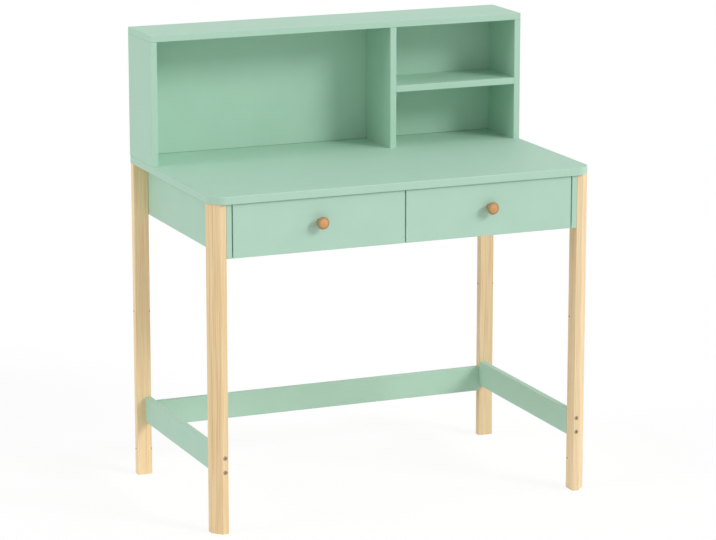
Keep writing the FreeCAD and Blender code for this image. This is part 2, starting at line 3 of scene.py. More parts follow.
import bmesh
import bpy
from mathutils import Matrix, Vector


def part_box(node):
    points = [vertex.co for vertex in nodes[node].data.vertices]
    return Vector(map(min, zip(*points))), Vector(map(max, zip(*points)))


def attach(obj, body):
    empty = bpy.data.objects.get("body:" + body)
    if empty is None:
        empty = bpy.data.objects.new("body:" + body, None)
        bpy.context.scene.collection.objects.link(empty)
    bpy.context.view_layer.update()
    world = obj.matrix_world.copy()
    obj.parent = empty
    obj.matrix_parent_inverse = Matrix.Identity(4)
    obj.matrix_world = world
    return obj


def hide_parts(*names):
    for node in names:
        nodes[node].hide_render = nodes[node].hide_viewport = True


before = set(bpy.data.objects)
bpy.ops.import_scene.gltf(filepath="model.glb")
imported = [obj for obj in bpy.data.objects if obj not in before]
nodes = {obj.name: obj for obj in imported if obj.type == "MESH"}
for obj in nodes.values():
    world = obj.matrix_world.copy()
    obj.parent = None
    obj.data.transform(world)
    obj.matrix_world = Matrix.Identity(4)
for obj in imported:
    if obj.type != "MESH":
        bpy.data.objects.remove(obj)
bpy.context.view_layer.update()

# Legs: four posts of planed pine, the front pair square with a broad cut on the outer corner, the rear
# pair half as deep. The wood is straight-grained, with a thin clear matt lacquer that lets the growth
# rings show. Two wood screws from inside hold each leg to its side apron.
mm = 0.001
# Each leg's pale and dark wood tones. The rear-left leg's are paler as painted light, lifting the desk's
# shade on its front.
leg_tones_and_painted_lift = {"leg_front_left": ("F7DBAC", "D6AB70"), "leg_front_right": ("F6DDB3", "D4AC77"),
             "leg_rear_left": ("FFE5B8", "E3B67C"), "leg_rear_right": ("ECD4AB", "C9A26E")}
leg_ring_width = 3.1 * mm
leg_pith_offset = Vector((31, 24, 0)) * mm
leg_pith_step = Vector((9, -7, 700)) * mm
leg_mark_heights = {"leg_front_right": (70 * mm, 400 * mm), "leg_rear_left": (60 * mm, 385 * mm),
                    "leg_rear_right": (372 * mm,)}
leg_mark_inset = 6 * mm
leg_mark_radius = 2.4 * mm
leg_mark_core_share = 0.5
leg_mark_fade_share = 1.3
leg_mark_colour = "6E5334"
grain_upright = (0, 0, 0)
wood_wander_width = 60 * mm
wood_wander_stretch = 6
wood_wander_reach = (6 * mm, 6 * mm, 0)
wood_fibre_width = 1.7 * mm
wood_fibre_stretch = 90
wood_band_width = 14 * mm
wood_band_stretch = 30
latewood_start_share = 0.3
latewood_end_share = 0.97
# The tone runs from pale at 0 to dark at 1: a start, and what rings, fibres and bands add to it.
wood_tone_start = -1.06
wood_ring_tone = 0.3
wood_fibre_tone = 1.8
wood_band_tone = 0.5
wood_relief = 0.15 * mm


def linear(hex_colour):
    """An sRGB hex value as linear red, green, blue and alpha."""
    shares = [int(hex_colour[at:at + 2], 16) / 255 for at in (0, 2, 4)]
    return [c / 12.92 if c <= 0.04045 else ((c + 0.055) / 1.055) ** 2.4 for c in shares] + [1]


def add(tree, kind, inputs=None, **settings):
    """A new node with its settings; an input is a value or another node's output."""
    made = tree.nodes.new(kind)
    for name, value in settings.items():
        setattr(made, name, value)
    for socket, value in (inputs or {}).items():
        if isinstance(value, bpy.types.NodeSocket):
            tree.links.new(value, made.inputs[socket])
        else:
            made.inputs[socket].default_value = value
    return made


def new_material(name, **constants):
    """An empty material: its tree, and its surface shader with what is the same all over."""
    material = bpy.data.materials.new(name)
    material.use_nodes = True
    tree = material.node_tree
    tree.nodes.clear()
    shader = add(tree, "ShaderNodeBsdfPrincipled", constants)
    add(tree, "ShaderNodeOutputMaterial", {"Surface": shader.outputs["BSDF"]})
    return material, tree, shader


def cover(tree, shader, colour, roughness, height, strength, relief):
    """Lead what varies over a surface to its shader: colour, roughness and a shallow relief."""
    bump = add(tree, "ShaderNodeBump", {"Height": height, "Strength": strength, "Distance": relief})
    normal = bump.outputs["Normal"]
    for value, socket in ((colour, "Base Color"), (roughness, "Roughness"), (normal, "Normal")):
        tree.links.new(value, shader.inputs[socket])


def dress(name, material):
    """Give a construction piece its finish."""
    nodes[name].data.materials.clear()
    nodes[name].data.materials.append(material)


def planed_wood(name, pith, grain_turn, ring_width, pale, dark, marks=()):
    """Planed wood sawn beside its pith: rings run as lines along the grain, with fibres and bands.

    grain_turn turns the grain's direction to Z; marks are points with a small dark pin mark. Real
    fibres are too fine to show, so these are as coarse as they need to be."""
    material, tree, shader = new_material(name, IOR=1.5)
    place = add(tree, "ShaderNodeTexCoord").outputs["Object"]
    along = add(tree, "ShaderNodeMapping", {"Vector": place, "Location": pith, "Rotation": grain_turn})
    along = along.outputs["Vector"]

    def streaks(width, stretch, detail):
        space = add(tree, "ShaderNodeMapping", {"Vector": along, "Scale": (1, 1, 1 / stretch)})
        noise = add(tree, "ShaderNodeTexNoise", {"Vector": space.outputs["Vector"], "Scale": 1 / width,
                                                 "Detail": detail})
        return noise.outputs

    wander = streaks(wood_wander_width, wood_wander_stretch, 1)["Color"]
    wandered = add(tree, "ShaderNodeVectorMath", {0: wander, 1: wood_wander_reach, 2: along},
                   operation="MULTIPLY_ADD").outputs["Vector"]
    across = add(tree, "ShaderNodeVectorMath", {0: wandered, 1: (1, 1, 0)}, operation="MULTIPLY")
    radius = add(tree, "ShaderNodeVectorMath", {0: across.outputs["Vector"]}, operation="LENGTH")
    ring = add(tree, "ShaderNodeMath", {0: radius.outputs["Value"], 1: ring_width}, operation="DIVIDE")
    ring = add(tree, "ShaderNodeMath", {0: ring.outputs["Value"]}, operation="FRACT")
    late = add(tree, "ShaderNodeMapRange", {"Value": ring.outputs["Value"],
                                            "From Min": latewood_start_share,
                                            "From Max": latewood_end_share},
               interpolation_type="SMOOTHSTEP").outputs["Result"]
    fibre = streaks(wood_fibre_width, wood_fibre_stretch, 2)["Fac"]
    band = streaks(wood_band_width, wood_band_stretch, 1)["Fac"]
    tone = wood_tone_start
    for part, share in ((late, wood_ring_tone), (fibre, wood_fibre_tone), (band, wood_band_tone)):
        tone = add(tree, "ShaderNodeMath", {0: part, 1: share, 2: tone},
                   operation="MULTIPLY_ADD").outputs["Value"]
    colour = add(tree, "ShaderNodeMix", {0: tone, 6: linear(pale), 7: linear(dark)},
                 data_type="RGBA").outputs[2]
    for point in marks:
        gap = add(tree, "ShaderNodeVectorMath", {0: place, 1: point}, operation="DISTANCE")
        mark = add(tree, "ShaderNodeMapRange", {"Value": gap.outputs["Value"],
                                                "From Min": leg_mark_radius * leg_mark_fade_share,
                                                "From Max": leg_mark_radius * leg_mark_core_share})
        colour = add(tree, "ShaderNodeMix", {0: mark.outputs["Result"], 6: colour,
                                             7: linear(leg_mark_colour)}, data_type="RGBA").outputs[2]
    gloss = add(tree, "ShaderNodeMapRange", {"Value": fibre, "To Min": 0.62, "To Max": 0.46})
    cover(tree, shader, colour, gloss.outputs["Result"], tone, strength=0.35, relief=wood_relief)
    return material


for turn, (name, (pale, dark)) in enumerate(leg_tones_and_painted_lift.items()):
    low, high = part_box(name)
    edges = ((low.x, high.y - leg_mark_inset), (high.x, low.y))
    marks = [(x, y, z) for x, y in edges for z in leg_mark_heights.get(name, ())]
    pith = leg_pith_offset + turn * leg_pith_step - Vector(((low.x + high.x) / 2, low.y, 0))
    pine = planed_wood("lacquered pine " + name, pith, grain_upright, leg_ring_width, pale, dark, marks)
    dress(name, pine)

# Aprons, partition and stretchers: boards of MDF, sawn, edge-rounded and sprayed with satin lacquer.
# The spray leaves a fine orange peel and the faintest clouding of tone.
# The aprons close the drawer space; the stretchers tie the legs together near the floor.
paint_pale = "BADCC9"
paint_deep = "ABD0BB"
paint_peel_width = 1.8 * mm
paint_peel_tone = 0.5
paint_peel_relief = 0.1 * mm
paint_cloud_width = 70 * mm
paint_cloud_tone = 0.5
painted_frame = ("side_apron_left", "side_apron_right", "rear_apron", "drawer_partition",
                 "stretcher_left", "stretcher_right", "stretcher_rear")


def satin_lacquer(name):
    """Sprayed satin lacquer on MDF: fine orange peel, faint clouds of tone and gloss."""
    material, tree, shader = new_material(name, IOR=1.45)
    place = add(tree, "ShaderNodeTexCoord").outputs["Object"]
    cloud = add(tree, "ShaderNodeTexNoise", {"Vector": place, "Scale": 1 / paint_cloud_width, "Detail": 4})
    peel = add(tree, "ShaderNodeTexNoise", {"Vector": place, "Scale": 1 / paint_peel_width, "Detail": 2})
    cloud, peel = cloud.outputs["Fac"], peel.outputs["Fac"]
    tone = 0
    for part, share in ((peel, paint_peel_tone), (cloud, paint_cloud_tone)):
        tone = add(tree, "ShaderNodeMath", {0: part, 1: share, 2: tone},
                   operation="MULTIPLY_ADD").outputs["Value"]
    colour = add(tree, "ShaderNodeMix", {0: tone, 6: linear(paint_deep), 7: linear(paint_pale)},
                 data_type="RGBA").outputs[2]
    gloss = add(tree, "ShaderNodeMapRange", {"Value": cloud, "From Min": 0.3, "From Max": 0.7,
                                             "To Min": 0.54, "To Max": 0.57})
    cover(tree, shader, colour, gloss.outputs["Result"], peel, strength=0.2, relief=paint_peel_relief)
    return material


mint_lacquer = satin_lacquer("mint satin lacquer on MDF")
for name in painted_frame:
    dress(name, mint_lacquer)

# Connecting screws: zinc-plated steel with a flat head and a hexagon socket, sunk flush in the wood.
# Pairs, 32 mm apart, go through the legs into the ends of the side stretchers, and single ones come
# up through the desktop into the hutch. All the recessed hardware is turned by one set of nodes.
connector_spacing = 32 * mm
connector_sizes = {"Head Radius": 5 * mm, "Head Depth": 4 * mm, "Rim Round": 0.5 * mm,
                   "Shank Radius": 3.25 * mm, "Tip Length": 3 * mm, "Recess Points": 3,
                   "Recess Radius": 2.4 * mm, "Recess Waist": 2.4 * mm, "Recess Depth": 3 * mm}
long_connector = 70 * mm
short_connector = 50 * mm
hutch_screw_shares = (0.25, 0.75)
turned_sides = 32
weld_distance = 0.004 * mm
smooth_limit = math.radians(32)
zinc_bright = "CAB59C"
zinc_dull = "A18B74"
zinc_spangle_width = 1.5 * mm
zinc_relief = 0.1 * mm


def speckled(name, bright, dull, grain, relief, roughness, spread=0.08, strength=0.3, **constants):
    """A plated, coated or moulded finish: fine patches of tone, gloss and relief, all of one grain."""
    material, tree, shader = new_material(name, **constants)
    place = add(tree, "ShaderNodeTexCoord").outputs["Object"]
    patch = add(tree, "ShaderNodeTexNoise", {"Vector": place, "Scale": 1 / grain, "Detail": 3})
    patch = patch.outputs["Fac"]
    colour = add(tree, "ShaderNodeMix", {0: patch, 6: linear(dull), 7: linear(bright)}, data_type="RGBA")
    gloss = add(tree, "ShaderNodeMapRange", {"Value": patch, "To Min": roughness + spread,
                                             "To Max": roughness - spread})
    cover(tree, shader, colour.outputs[2], gloss.outputs["Result"], patch, strength, relief)
    return material


def recessed_hardware():
    """Nodes that turn one screw along Z, press its recess, and set it on every seat."""
    tree = bpy.data.node_groups.new("recessed hardware", "GeometryNodeTree")
    tree.interface.new_socket("Seats", in_out="INPUT", socket_type="NodeSocketGeometry")
    for size in ("Head Radius", "Head Rise", "Head Depth", "Rim Round", "Shank Radius", "Length",
                 "Tip Length", "Recess Radius", "Recess Waist", "Recess Depth"):
        tree.interface.new_socket(size, in_out="INPUT", socket_type="NodeSocketFloat")
    tree.interface.new_socket("Recess Points", in_out="INPUT", socket_type="NodeSocketInt")
    tree.interface.new_socket("Finish", in_out="INPUT", socket_type="NodeSocketMaterial")
    tree.interface.new_socket("Hardware", in_out="OUTPUT", socket_type="NodeSocketGeometry")
    given = add(tree, "NodeGroupInput").outputs

    columns = turned_sides + 1
    worked = {socket.name: socket for socket in given}
    worked["Index"] = add(tree, "GeometryNodeInputIndex").outputs["Index"]
    worked.update({"Nought": 0, "Columns": columns, "Step": math.tau / turned_sides})
    for result, first, operation, second in (("Face Radius", "Head Radius", "SUBTRACT", "Rim Round"),
                                             ("Face Height", "Nought", "SUBTRACT", "Head Rise"),
                                             ("Rim Height", "Rim Round", "SUBTRACT", "Head Rise"),
                                             ("Seat Height", "Nought", "MAXIMUM", "Rim Height"),
                                             ("Tip Height", "Length", "SUBTRACT", "Tip Length"),
                                             ("Rows Passed", "Index", "DIVIDE", "Columns"),
                                             ("Row", "Rows Passed", "FLOOR", "Nought"),
                                             ("Column", "Index", "MODULO", "Columns"),
                                             ("Angle", "Column", "MULTIPLY", "Step")):
        made = add(tree, "ShaderNodeMath", {0: worked[first], 1: worked[second]}, operation=operation)
        worked[result] = made.outputs["Value"]

    profile = (("Face Radius", "Face Height"), ("Head Radius", "Rim Height"),
               ("Head Radius", "Seat Height"), ("Shank Radius", "Head Depth"),
               ("Shank Radius", "Tip Height"), ("Nought", "Length"))
    chosen = []
    for values in zip(*profile):
        switch = add(tree, "GeometryNodeIndexSwitch", {"Index": worked["Row"]}, data_type="FLOAT")
        while len(switch.index_switch_items) < len(profile):
            switch.index_switch_items.new()
        for at, value in enumerate(values):
            if value != "Nought":
                tree.links.new(worked[value], switch.inputs[1 + at])
        chosen.append(switch.outputs["Output"])
    spoke = add(tree, "ShaderNodeCombineXYZ", {"X": chosen[0], "Z": chosen[1]}).outputs["Vector"]
    point = add(tree, "ShaderNodeVectorRotate", {"Vector": spoke, "Angle": worked["Angle"]},
                rotation_type="Z_AXIS").outputs["Vector"]
    grid = add(tree, "GeometryNodeMeshGrid", {"Vertices X": len(profile), "Vertices Y": columns})
    side = add(tree, "GeometryNodeSetPosition", {"Geometry": grid.outputs["Mesh"], "Position": point})

    rim = add(tree, "GeometryNodeCurvePrimitiveCircle", {"Resolution": turned_sides,
                                                         "Radius": worked["Face Radius"]}, mode="RADIUS")
    recess = add(tree, "GeometryNodeCurveStar", {"Points": given["Recess Points"],
                                                 "Inner Radius": given["Recess Waist"],
                                                 "Outer Radius": given["Recess Radius"]})
    both = add(tree, "GeometryNodeJoinGeometry")
    for curve in (rim, recess):
        tree.links.new(curve.outputs["Curve"], both.inputs["Geometry"])
    face = add(tree, "GeometryNodeFillCurve", {"Curve": both.outputs["Geometry"]})
    floor_of_recess = add(tree, "GeometryNodeFillCurve", {"Curve": recess.outputs["Curve"]})
    pressed = add(tree, "GeometryNodeExtrudeMesh", {"Mesh": floor_of_recess.outputs["Mesh"],
                                                    "Offset": (0, 0, 1), "Individual": False,
                                                    "Offset Scale": given["Recess Depth"]}, mode="FACES")
    head = add(tree, "GeometryNodeJoinGeometry")
    for mesh in (face, pressed):
        tree.links.new(mesh.outputs["Mesh"], head.inputs["Geometry"])
    lift = add(tree, "ShaderNodeCombineXYZ", {"Z": worked["Face Height"]}).outputs["Vector"]
    head = add(tree, "GeometryNodeTransform", {"Geometry": head.outputs["Geometry"], "Translation": lift})
    whole = add(tree, "GeometryNodeJoinGeometry")
    for mesh in (side, head):
        tree.links.new(mesh.outputs["Geometry"], whole.inputs["Geometry"])
    outward = add(tree, "GeometryNodeFlipFaces", {"Mesh": whole.outputs["Geometry"]})
    welded = add(tree, "GeometryNodeMergeByDistance", {"Geometry": outward.outputs["Mesh"],
                                                       "Distance": weld_distance})
    way = add(tree, "GeometryNodeInputNamedAttribute", {"Name": "direction"}, data_type="FLOAT_VECTOR")
    turn = add(tree, "FunctionNodeAlignRotationToVector", {"Vector": way.outputs["Attribute"]}, axis="Z")
    copies = add(tree, "GeometryNodeInstanceOnPoints", {"Points": given["Seats"],
                                                        "Instance": welded.outputs["Geometry"],
                                                        "Rotation": turn.outputs["Rotation"]})
    real = add(tree, "GeometryNodeRealizeInstances", {"Geometry": copies.outputs["Instances"]})
    finished = add(tree, "GeometryNodeSetMaterial", {"Geometry": real.outputs["Geometry"],
                                                     "Material": given["Finish"]})
    add(tree, "NodeGroupOutput", {"Hardware": finished.outputs["Geometry"]})
    return tree


def new_piece(name, mesh, body, replaced):
    """A finished mesh as a piece of the desk that rides on a body in the place of a node."""
    mesh.shade_smooth()
    mesh.set_sharp_from_angle(angle=smooth_limit)
    piece = bpy.data.objects.new(name, mesh)
    bpy.context.scene.collection.objects.link(piece)
    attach(piece, body)
    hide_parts(replaced)


def set_hardware(name, body, replaced, seats, sizes):
    """Screws or like fittings of one size, each on its seat and along its direction."""
    points = bpy.data.meshes.new(name)
    points.from_pydata([seat for seat, direction in seats], [], [])
    ways = points.attributes.new("direction", "FLOAT_VECTOR", "POINT")
    for at, (seat, direction) in enumerate(seats):
        ways.data[at].vector = direction
    seating = bpy.data.objects.new(name + "_seats", points)
    bpy.context.scene.collection.objects.link(seating)
    turning = seating.modifiers.new("turning", "NODES")
    turning.node_group = hardware_nodes
    for socket in hardware_nodes.interface.items_tree:
        if socket.name in sizes:
            turning[socket.identifier] = sizes[socket.name]
        elif socket.name == "Finish":
            turning[socket.identifier] = zinc
    seen = seating.evaluated_get(bpy.context.evaluated_depsgraph_get())
    mesh = bpy.data.meshes.new_from_object(seen)
    seating.modifiers.remove(turning)
    bpy.data.objects.remove(seating)
    new_piece(name, mesh, body, replaced)


hardware_nodes = recessed_hardware()
# Zinc plating, a little yellowed: a grey metal with dull and brighter patches.
zinc = speckled("zinc plated steel", zinc_bright, zinc_dull, zinc_spangle_width, zinc_relief,
                roughness=0.4, spread=0.1, strength=0.2, Metallic=1)
to_back = Vector((0, 1, 0))
to_front = Vector((0, -1, 0))
to_right = Vector((1, 0, 0))
to_left = Vector((-1, 0, 0))
up = Vector((0, 0, 1))
long_seats = []
short_seats = []
for side in ("left", "right"):
    low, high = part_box("stretcher_" + side)
    front_low, front_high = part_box("leg_front_" + side)
    back_low, back_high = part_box("leg_rear_" + side)
    x = (low.x + high.x) / 2
    for offset in (-connector_spacing / 2, connector_spacing / 2):
        z = (low.z + high.z) / 2 + offset
        long_seats.append(((x, front_low.y, z), to_back))
        short_seats.append(((x, back_high.y, z), to_front))
side_low, side_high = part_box("hutch_side_left")
desktop_low, desktop_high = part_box("desktop")
for name in ("hutch_side_left", "hutch_divider", "hutch_side_right"):
    low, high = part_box(name)
    for share in hutch_screw_shares:
        y = side_low.y + share * (side_high.y - side_low.y)
        short_seats.append((((low.x + high.x) / 2, y, desktop_low.z), up))
set_hardware("connecting_screws_long", "frame", "long_connecting_screws", long_seats,
             {**connector_sizes, "Length": long_connector})
set_hardware("connecting_screws_short", "frame", "short_connecting_screws", short_seats,
             {**connector_sizes, "Length": short_connector})

# Leg screws: countersunk wood screws of zinc-plated steel with a cross recess. Two go from inside each
# side apron into each leg, with their heads flush with the apron's inner face.
leg_screw_drops = (45 * mm, 75 * mm)
wood_screw_sizes = {"Head Radius": 4.5 * mm, "Head Depth": 3 * mm, "Rim Round": 0.3 * mm,
                    "Shank Radius": 2.25 * mm, "Length": 40 * mm, "Tip Length": 6 * mm, "Recess Points": 4,
                    "Recess Radius": 2.4 * mm, "Recess Waist": 0.7 * mm, "Recess Depth": 1.6 * mm}

leg_seats = []
for side, outward in (("left", to_left), ("right", to_right)):
    apron_low, apron_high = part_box("side_apron_" + side)
    inner_x = apron_high.x if side == "left" else apron_low.x
    for end in ("front", "rear"):
        low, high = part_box("leg_" + end + "_" + side)
        for drop in leg_screw_drops:
            leg_seats.append(((inner_x, (low.y + high.y) / 2, apron_high.z - drop), outward))
set_hardware("leg_wood_screws", "frame", "leg_screws", leg_seats, wood_screw_sizes)

# Desktop: one painted board, its front corners cut off and rounded, its edges softened. Steel bolts in
# its underside, gripped by die-cast cams in the aprons and the partition, draw it down, so no screw shows
# from above. Two more cams, in the rear stretcher's back, hold that board between the legs.
cam_drop = 24 * mm
cam_sizes = {"Head Radius": 6 * mm, "Head Depth": 0.6 * mm, "Rim Round": 0.4 * mm,
             "Shank Radius": 5.9 * mm, "Length": 10 * mm, "Recess Points": 4, "Recess Radius": 2.8 * mm,
             "Recess Waist": 0.8 * mm, "Recess Depth": 1.5 * mm}
cam_side_shares = (0.2, 0.75)
cam_rear_shares = (0.25, 0.75)
cam_partition_shares = (0.2, 0.8)

dress("desktop", mint_lacquer)
cam_seats = []
cam_z = desktop_low.z - cam_drop
for side, outward in (("left", to_left), ("right", to_right)):
    low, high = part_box("side_apron_" + side)
    x = high.x if side == "left" else low.x
    cam_seats += [((x, low.y + share * (high.y - low.y), cam_z), outward) for share in cam_side_shares]
low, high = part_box("rear_apron")
cam_seats += [((low.x + share * (high.x - low.x), low.y, cam_z), to_back) for share in cam_rear_shares]
low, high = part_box("drawer_partition")
cam_seats += [((low.x, low.y + share * (high.y - low.y), cam_z), to_right)
              for share in cam_partition_shares]
low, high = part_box("stretcher_rear")
side_low, side_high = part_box("stretcher_left")
stretcher_z = (side_low.z + side_high.z) / 2
cam_seats += [((x, high.y, stretcher_z), to_front) for x in (low.x + cam_drop, high.x - cam_drop)]
set_hardware("cam_fittings", "frame", "cam_locks", cam_seats, cam_sizes)
dress("cam_bolts", zinc)

# Hutch: two sides, a divider, a top laid over them, a back let in between, and one fixed shelf. All are
# the same painted board; beech dowels, glued out of sight, hold the joints. A fine seam parts the back
# from the desktop, the divider and the shelf.
hutch_boards = ("hutch_side_left", "hutch_side_right", "hutch_top", "hutch_back", "hutch_divider",
                "hutch_shelf")
dowel_pale = "E3C79C"
dowel_dark = "C9A574"
dowel_pith = (20 * mm, 30 * mm, 0)
dowel_ring_width = 2.5 * mm

for name in hutch_boards:
    dress(name, mint_lacquer)
beech = planed_wood("plain beech", dowel_pith, grain_upright, dowel_ring_width, dowel_pale, dowel_dark)
dress("dowels", beech)

# Slides: two pressed-steel rails and two nylon rollers on each side of each drawer. The channel is
# screwed to the cabinet and carries a roller in front; the angle reaches under the drawer's side, is
# screwed to it and carries one behind. The rails are powder-coated, a pale cream with a fine stipple.
rail_sheet = 1.2 * mm
rail_bend = 0.9 * mm
rail_bend_steps = 4
rail_pale = "EEEBE2"
rail_shade = "DEDACF"
rail_stipple_width = 0.9 * mm
rail_stipple_relief = 0.09 * mm
rail_screw_shares = (0.12, 0.5, 0.84)
rail_screw_stagger = 14 * mm
rail_screw_sizes = {"Head Radius": 3 * mm, "Head Rise": 1.1 * mm, "Rim Round": 0.5 * mm,
                    "Shank Radius": 1.5 * mm, "Length": 10 * mm, "Tip Length": 3 * mm, "Recess Points": 4,
                    "Recess Radius": 1.6 * mm, "Recess Waist": 0.45 * mm, "Recess Depth": 0.7 * mm}
channel_screw_rise = 18.5 * mm
angle_screw_rise = 16.5 * mm
channel_lip_setback = 26 * mm
channel_lip_points = 3
slide_gap = 12.5 * mm
channel_mouth = 2.6 * mm
angle_foot = 8 * mm
angle_flange = 10.5 * mm
roller_radius = 9 * mm
roller_bore = 2.56 * mm
roller_hub = 4.4 * mm
roller_pan = 7.4 * mm
roller_edge = 0.6 * mm
roller_corner = 0.2 * mm
roller_dish = 0.9 * mm
roller_draft = 0.3 * mm
pin_radius = 2.5 * mm
pin_head_radius = 4 * mm
pin_head_length = 0.8 * mm
pin_play = 0.2 * mm
pin_crown = 0.2 * mm
nylon_pale = "F4F3EE"
nylon_shade = "E6E4DC"
nylon_grain_width = 2.5 * mm
nylon_relief = 0.25 * mm
lathe_sides = 48


def bent_sheet(corners):
    """The middle line of a folded sheet: its places, and the way across the sheet at each of them."""
    line = [(corners[0], (corners[1] - corners[0]).normalized().orthogonal())]
    bend = rail_bend + rail_sheet / 2
    for before, corner, after in zip(corners, corners[1:], corners[2:]):
        into, out = (corner - before).normalized(), (after - corner).normalized()
        centre = corner + (out - into) * bend
        turned_left = into.x * out.y - into.y * out.x > 0
        for step in range(rail_bend_steps + 1):
            angle = math.radians(90) * step / rail_bend_steps
            across = -out * math.cos(angle) + into * math.sin(angle)
            line.append((centre + across * bend, -across if turned_left else across))
    line.append((corners[-1], (corners[-1] - corners[-2]).normalized().orthogonal()))
    return line


def folded_rail(drawn, corners, to_place, starts, end_y):
    """A folded sheet drawn out along Y; starts gives where each point of its section begins."""
    rows = []
    for (middle, across), start_y in zip(bent_sheet(corners), starts):
        for half in (rail_sheet / 2, -rail_sheet / 2):
            u, z = middle + across * half
            rows.append([drawn.verts.new(to_place(u, y, z)) for y in (start_y, end_y)])
    pairs = [(rows[at], rows[at + 1]) for at in range(0, len(rows), 2)]
    for (left, right), (next_left, next_right) in zip(pairs, pairs[1:]):
        for one, two in ((left, next_left), (next_right, right)):
            drawn.faces.new((one[0], two[0], two[1], one[1]))
        drawn.faces.new((left[0], right[0], next_right[0], next_left[0]))
        drawn.faces.new((left[1], next_left[1], next_right[1], right[1]))
    for left, right in (pairs[0], pairs[-1]):
        drawn.faces.new((left[0], left[1], right[1], right[0]))


def lathed(drawn, profile, seat, axis, closed=False):
    """Turn a profile of (radius, along) points round an axis; a closed profile makes a ring."""
    first = axis.orthogonal().normalized()
    second = axis.cross(first)
    rings = []
    for radius, along in profile:
        middle = seat + axis * along
        if radius == 0:
            rings.append([drawn.verts.new(middle)] * lathe_sides)
            continue
        ring = []
        for step in range(lathe_sides):
            angle = math.tau * step / lathe_sides
            spoke = first * math.cos(angle) + second * math.sin(angle)
            ring.append(drawn.verts.new(middle + spoke * radius))
        rings.append(ring)
    following = rings[1:] + rings[:1] if closed else rings[1:]
    for ring, after in zip(rings, following):
        for step in range(lathe_sides):
            beside = (step + 1) % lathe_sides
            corners = dict.fromkeys((ring[step], ring[beside], after[beside], after[step]))
            drawn.faces.new(tuple(corners))


def roller_pin(drawn, roller, seat_x, axis, shouldered):
    """A roller's pin from a rail's face to a riveted head past the roller, with a shoulder if need be."""
    low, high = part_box(roller)
    near, far = sorted((abs(low.x - seat_x), abs(high.x - seat_x)))
    pin = [(0, 0), (pin_radius, 0)]
    if shouldered:
        shoulder = near - pin_play
        pin = [(0, 0), (pin_head_radius, 0), (pin_head_radius, shoulder), (pin_radius, shoulder)]
    pin += [(pin_radius, far + pin_play), (pin_head_radius, far + pin_play),
            (pin_head_radius, far + pin_head_length), (0, far + pin_head_length + pin_crown)]
    lathed(drawn, pin, Vector((seat_x, (low.y + high.y) / 2, (low.z + high.z) / 2)), axis)


def drawn_piece(name, drawn, finish, body, replaced):
    """A piece from what was drawn, with its faces turned outwards."""
    bmesh.ops.recalc_face_normals(drawn, faces=drawn.faces)
    mesh = bpy.data.meshes.new(name)
    drawn.to_mesh(mesh)
    drawn.free()
    mesh.materials.append(finish)
    new_piece(name, mesh, body, replaced)


rail_coat = speckled("powder-coated steel", rail_pale, rail_shade, rail_stipple_width,
                     rail_stipple_relief, roughness=0.42, IOR=1.5)
# Moulded nylon: a milky, half-matt white with a faint mottle.
nylon = speckled("moulded nylon", nylon_pale, nylon_shade, nylon_grain_width, nylon_relief,
                 roughness=0.4, IOR=1.53)
cabinet_seats = []
drawer_seats = {"drawer_left": [], "drawer_right": []}
for drawer, side in (("drawer_left", -1), ("drawer_right", 1)):
    for place, outward in (("inner", -side), ("outer", side)):
        slide = drawer + "_" + place
        low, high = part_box(slide + "_cabinet_rail")
        board_x = high.x if outward > 0 else low.x
        drawer_x = board_x - outward * slide_gap
        into_board = to_right * outward
        half = rail_sheet / 2

        def to_place(u, y, z):
            return (drawer_x + outward * u, y, z)

        channel = bmesh.new()
        corners = [Vector((channel_mouth, low.z + half)), Vector((slide_gap - half, low.z + half)),
                   Vector((slide_gap - half, high.z - half)), Vector((channel_mouth, high.z - half))]
        full_points = len(bent_sheet(corners)) - channel_lip_points
        starts = [low.y] * full_points + [low.y + channel_lip_setback] * channel_lip_points
        folded_rail(channel, corners, to_place, starts, high.y)
        roller_pin(channel, slide + "_cabinet_roller", board_x - outward * rail_sheet, -into_board,
                   shouldered=False)
        drawn_piece(slide + "_channel", channel, rail_coat, "frame", slide + "_cabinet_rail")
        shift = rail_screw_stagger if side > 0 else 0
        screw_ys = [low.y + share * (high.y - low.y) + shift for share in rail_screw_shares]
        cabinet_seats += [(to_place(slide_gap - rail_sheet, y, low.z + channel_screw_rise), into_board)
                          for y in screw_ys]

        low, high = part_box(slide + "_drawer_rail")
        angle_rail = bmesh.new()
        corners = [Vector((-angle_foot, low.z + half)), Vector((half, low.z + half)),
                   Vector((half, high.z - half)), Vector((angle_flange, high.z - half))]
        folded_rail(angle_rail, corners, to_place, [low.y] * len(bent_sheet(corners)), high.y)
        roller_pin(angle_rail, slide + "_drawer_roller", drawer_x + outward * rail_sheet, into_board,
                   shouldered=True)
        drawn_piece(slide + "_angle", angle_rail, rail_coat, drawer, slide + "_drawer_rail")
        drawer_seats[drawer] += [(to_place(rail_sheet, y, low.z + angle_screw_rise), -into_board)
                                 for y in screw_ys]

        for roller in (slide + "_cabinet_roller", slide + "_drawer_roller"):
            low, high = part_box(roller)
            width = high.x - low.x
            half_profile = [(roller_bore, 0), (roller_hub, 0), (roller_hub + roller_draft, roller_dish),
                            (roller_pan - roller_draft, roller_dish), (roller_pan, 0),
                            (roller_radius - roller_edge, 0),
                            (roller_radius - roller_corner, roller_corner), (roller_radius, roller_edge)]
            profile = half_profile + [(radius, width - along) for radius, along in reversed(half_profile)]
            wheel = bmesh.new()
            seat = Vector((low.x, (low.y + high.y) / 2, (low.z + high.z) / 2))
            lathed(wheel, profile, seat, to_right, closed=True)
            drawn_piece(roller + "_nylon", wheel, nylon, roller, roller)
set_hardware("channel_screws", "frame", "cabinet_rail_screws", cabinet_seats, rail_screw_sizes)
for drawer, seats in drawer_seats.items():
    set_hardware(drawer + "_angle_screws", drawer, drawer + "_rail_screws", seats, rail_screw_sizes)

